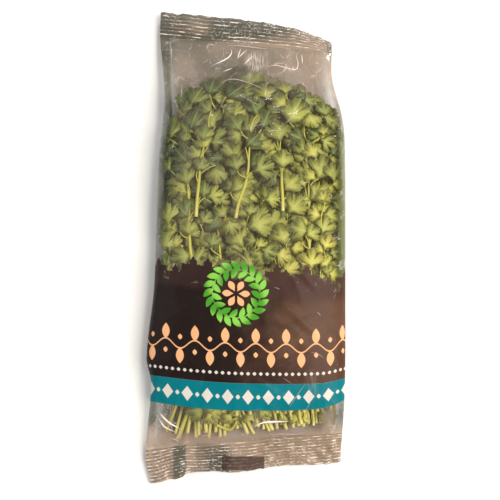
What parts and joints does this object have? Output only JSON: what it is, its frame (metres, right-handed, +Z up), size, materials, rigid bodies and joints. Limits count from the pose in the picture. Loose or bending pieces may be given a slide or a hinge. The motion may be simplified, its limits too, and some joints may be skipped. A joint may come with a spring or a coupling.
{
  "type": "coriander bunch",
  "caption": "Bunch of leafy coriander stems with cut ends, laid flat in a sealed clear flow-wrap film bag with crimped end seals.",
  "frame": {"origin": "under the middle of the bag, on the surface that it rests on", "axes": "+X across the bag, +Y from the cut ends of the stems to the leaves, +Z up through the bag's thickness"},
  "size_m": [0.1642, 0.405, 0.045],
  "materials": {
    "film": "thin clear packing film, slightly taupe, glossy, with fine creases and printed bands",
    "leaf": "soft matt herb leaf, mid green, paler and more yellow on the stalks",
    "stem": "smooth pale yellow-green cut herb stem"
  },
  "bodies": {
    "root": {"film_bag": "film", "loose_stem_left": "stem", "loose_stem_bent": "stem", "short_stem_1": "leaf", "short_stem_2": "leaf", "short_stem_3": "leaf", "leafy_stem_01": "leaf", "leafy_stem_02": "leaf", "leafy_stem_03": "leaf", "leafy_stem_04": "leaf", "leafy_stem_05": "leaf", "leafy_stem_06": "leaf", "leafy_stem_07": "leaf", "leafy_stem_08": "leaf", "leafy_stem_09": "leaf", "leafy_stem_10": "leaf", "leafy_stem_11": "leaf", "leafy_stem_12": "leaf", "leafy_stem_13": "leaf", "leafy_stem_14": "leaf", "leafy_stem_15": "leaf", "leafy_stem_16": "leaf", "leafy_stem_17": "leaf", "leafy_stem_18": "leaf", "leafy_stem_19": "leaf", "leafy_stem_20": "leaf", "leafy_stem_21": "leaf", "leafy_stem_22": "leaf", "leafy_stem_23": "leaf", "leafy_stem_24": "leaf", "leafy_stem_25": "leaf", "leafy_stem_26": "leaf", "leafy_stem_27": "leaf", "leafy_stem_28": "leaf", "leafy_stem_29": "leaf", "leafy_stem_30": "leaf"}
  },
  "joints": []
}
